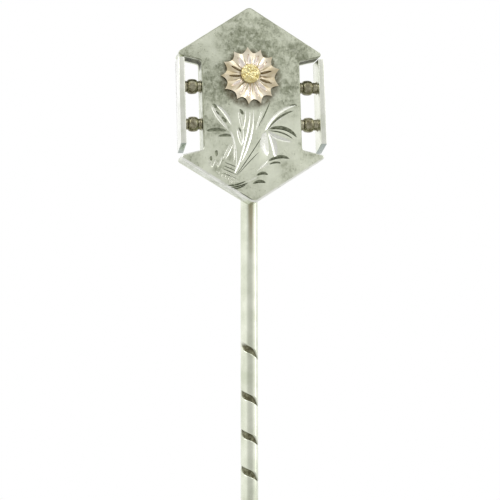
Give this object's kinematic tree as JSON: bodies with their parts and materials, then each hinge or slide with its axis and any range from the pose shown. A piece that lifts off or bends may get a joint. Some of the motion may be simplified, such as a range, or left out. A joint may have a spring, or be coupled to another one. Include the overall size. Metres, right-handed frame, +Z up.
{
  "type": "stick pin",
  "caption": "Tall stick pin: notched hexagon box head with applied flower, beaded side bars and a spiral-cut stem.",
  "frame": {"origin": "on the stem axis, level with the lowest corner of the head, where the stem leaves the head", "axes": "+Z up along the stem from point to head, -Y out of the engraved front face, +X to the viewer's right"},
  "size_m": [0.0104, 0.0033, 0.0631],
  "materials": {
    "head_silver": "matt brushed silver with grey-olive tarnish",
    "bright_silver": "polished silver",
    "oxidised_silver": "dark oxidised silver",
    "rose_gold": "satin rose gold, bright cut",
    "yellow_gold": "textured yellow gold"
  },
  "bodies": {
    "root": {"front_plate": "head_silver", "back_plate": "head_silver", "rim_upper": "head_silver", "rim_lower": "head_silver", "notch_wall_left": "head_silver", "notch_wall_right": "head_silver", "side_bar_left": "bright_silver", "side_bar_right": "bright_silver", "cross_rod_upper": "oxidised_silver", "cross_rod_lower": "oxidised_silver", "bead_upper_left": "oxidised_silver", "bead_upper_right": "oxidised_silver", "bead_lower_left": "oxidised_silver", "bead_lower_right": "oxidised_silver", "collar_inner_upper_left": "oxidised_silver", "collar_outer_upper_left": "oxidised_silver", "collar_inner_upper_right": "oxidised_silver", "collar_outer_upper_right": "oxidised_silver", "collar_inner_lower_left": "oxidised_silver", "collar_outer_lower_left": "oxidised_silver", "collar_inner_lower_right": "oxidised_silver", "collar_outer_lower_right": "oxidised_silver", "flower_petals": "rose_gold", "flower_centre": "yellow_gold", "pin_stem": "bright_silver"}
  },
  "joints": []
}
